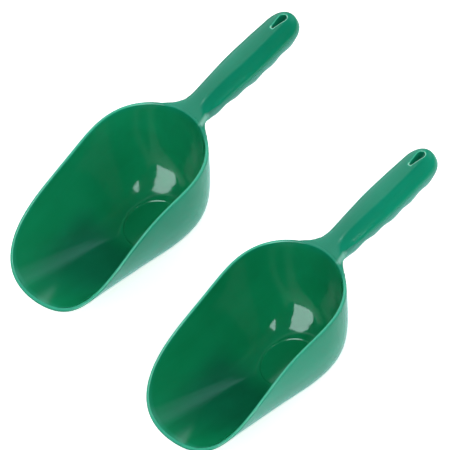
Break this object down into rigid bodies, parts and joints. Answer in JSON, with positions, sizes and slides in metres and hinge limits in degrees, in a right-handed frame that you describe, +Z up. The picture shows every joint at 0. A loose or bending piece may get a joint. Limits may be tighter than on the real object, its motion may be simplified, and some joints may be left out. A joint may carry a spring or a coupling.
{
  "type": "pair of hand scoops",
  "caption": "Matching green plastic hand scoops, each a deep bowl with a broad thin lip, a flat round foot and a short finger-swelled handle with a hang hole.",
  "frame": {"origin": "centre of the pair's footprint, on the ground plane the feet stand on", "axes": "+X from the lips to the handle ends, +Y from scoop b towards scoop a, +Z up"},
  "size_m": [0.3526, 0.3234, 0.08],
  "materials": {
    "body_plastic": "glossy moulded green plastic, slightly translucent at thin edges",
    "cover_plastic": "glossy moulded green plastic, a touch less polished than the body"
  },
  "bodies": {
    "scoop_a": {"scoop_a_body": "body_plastic", "scoop_a_grip_cover": "cover_plastic"},
    "scoop_b": {"scoop_b_body": "body_plastic", "scoop_b_grip_cover": "cover_plastic"}
  },
  "joints": [
    {"name": "scoop_b_lift", "type": "slide", "parent": "scoop_a", "child": "scoop_b", "axis": [0, 0, 1], "range_m": [0, 0.25]}
  ]
}
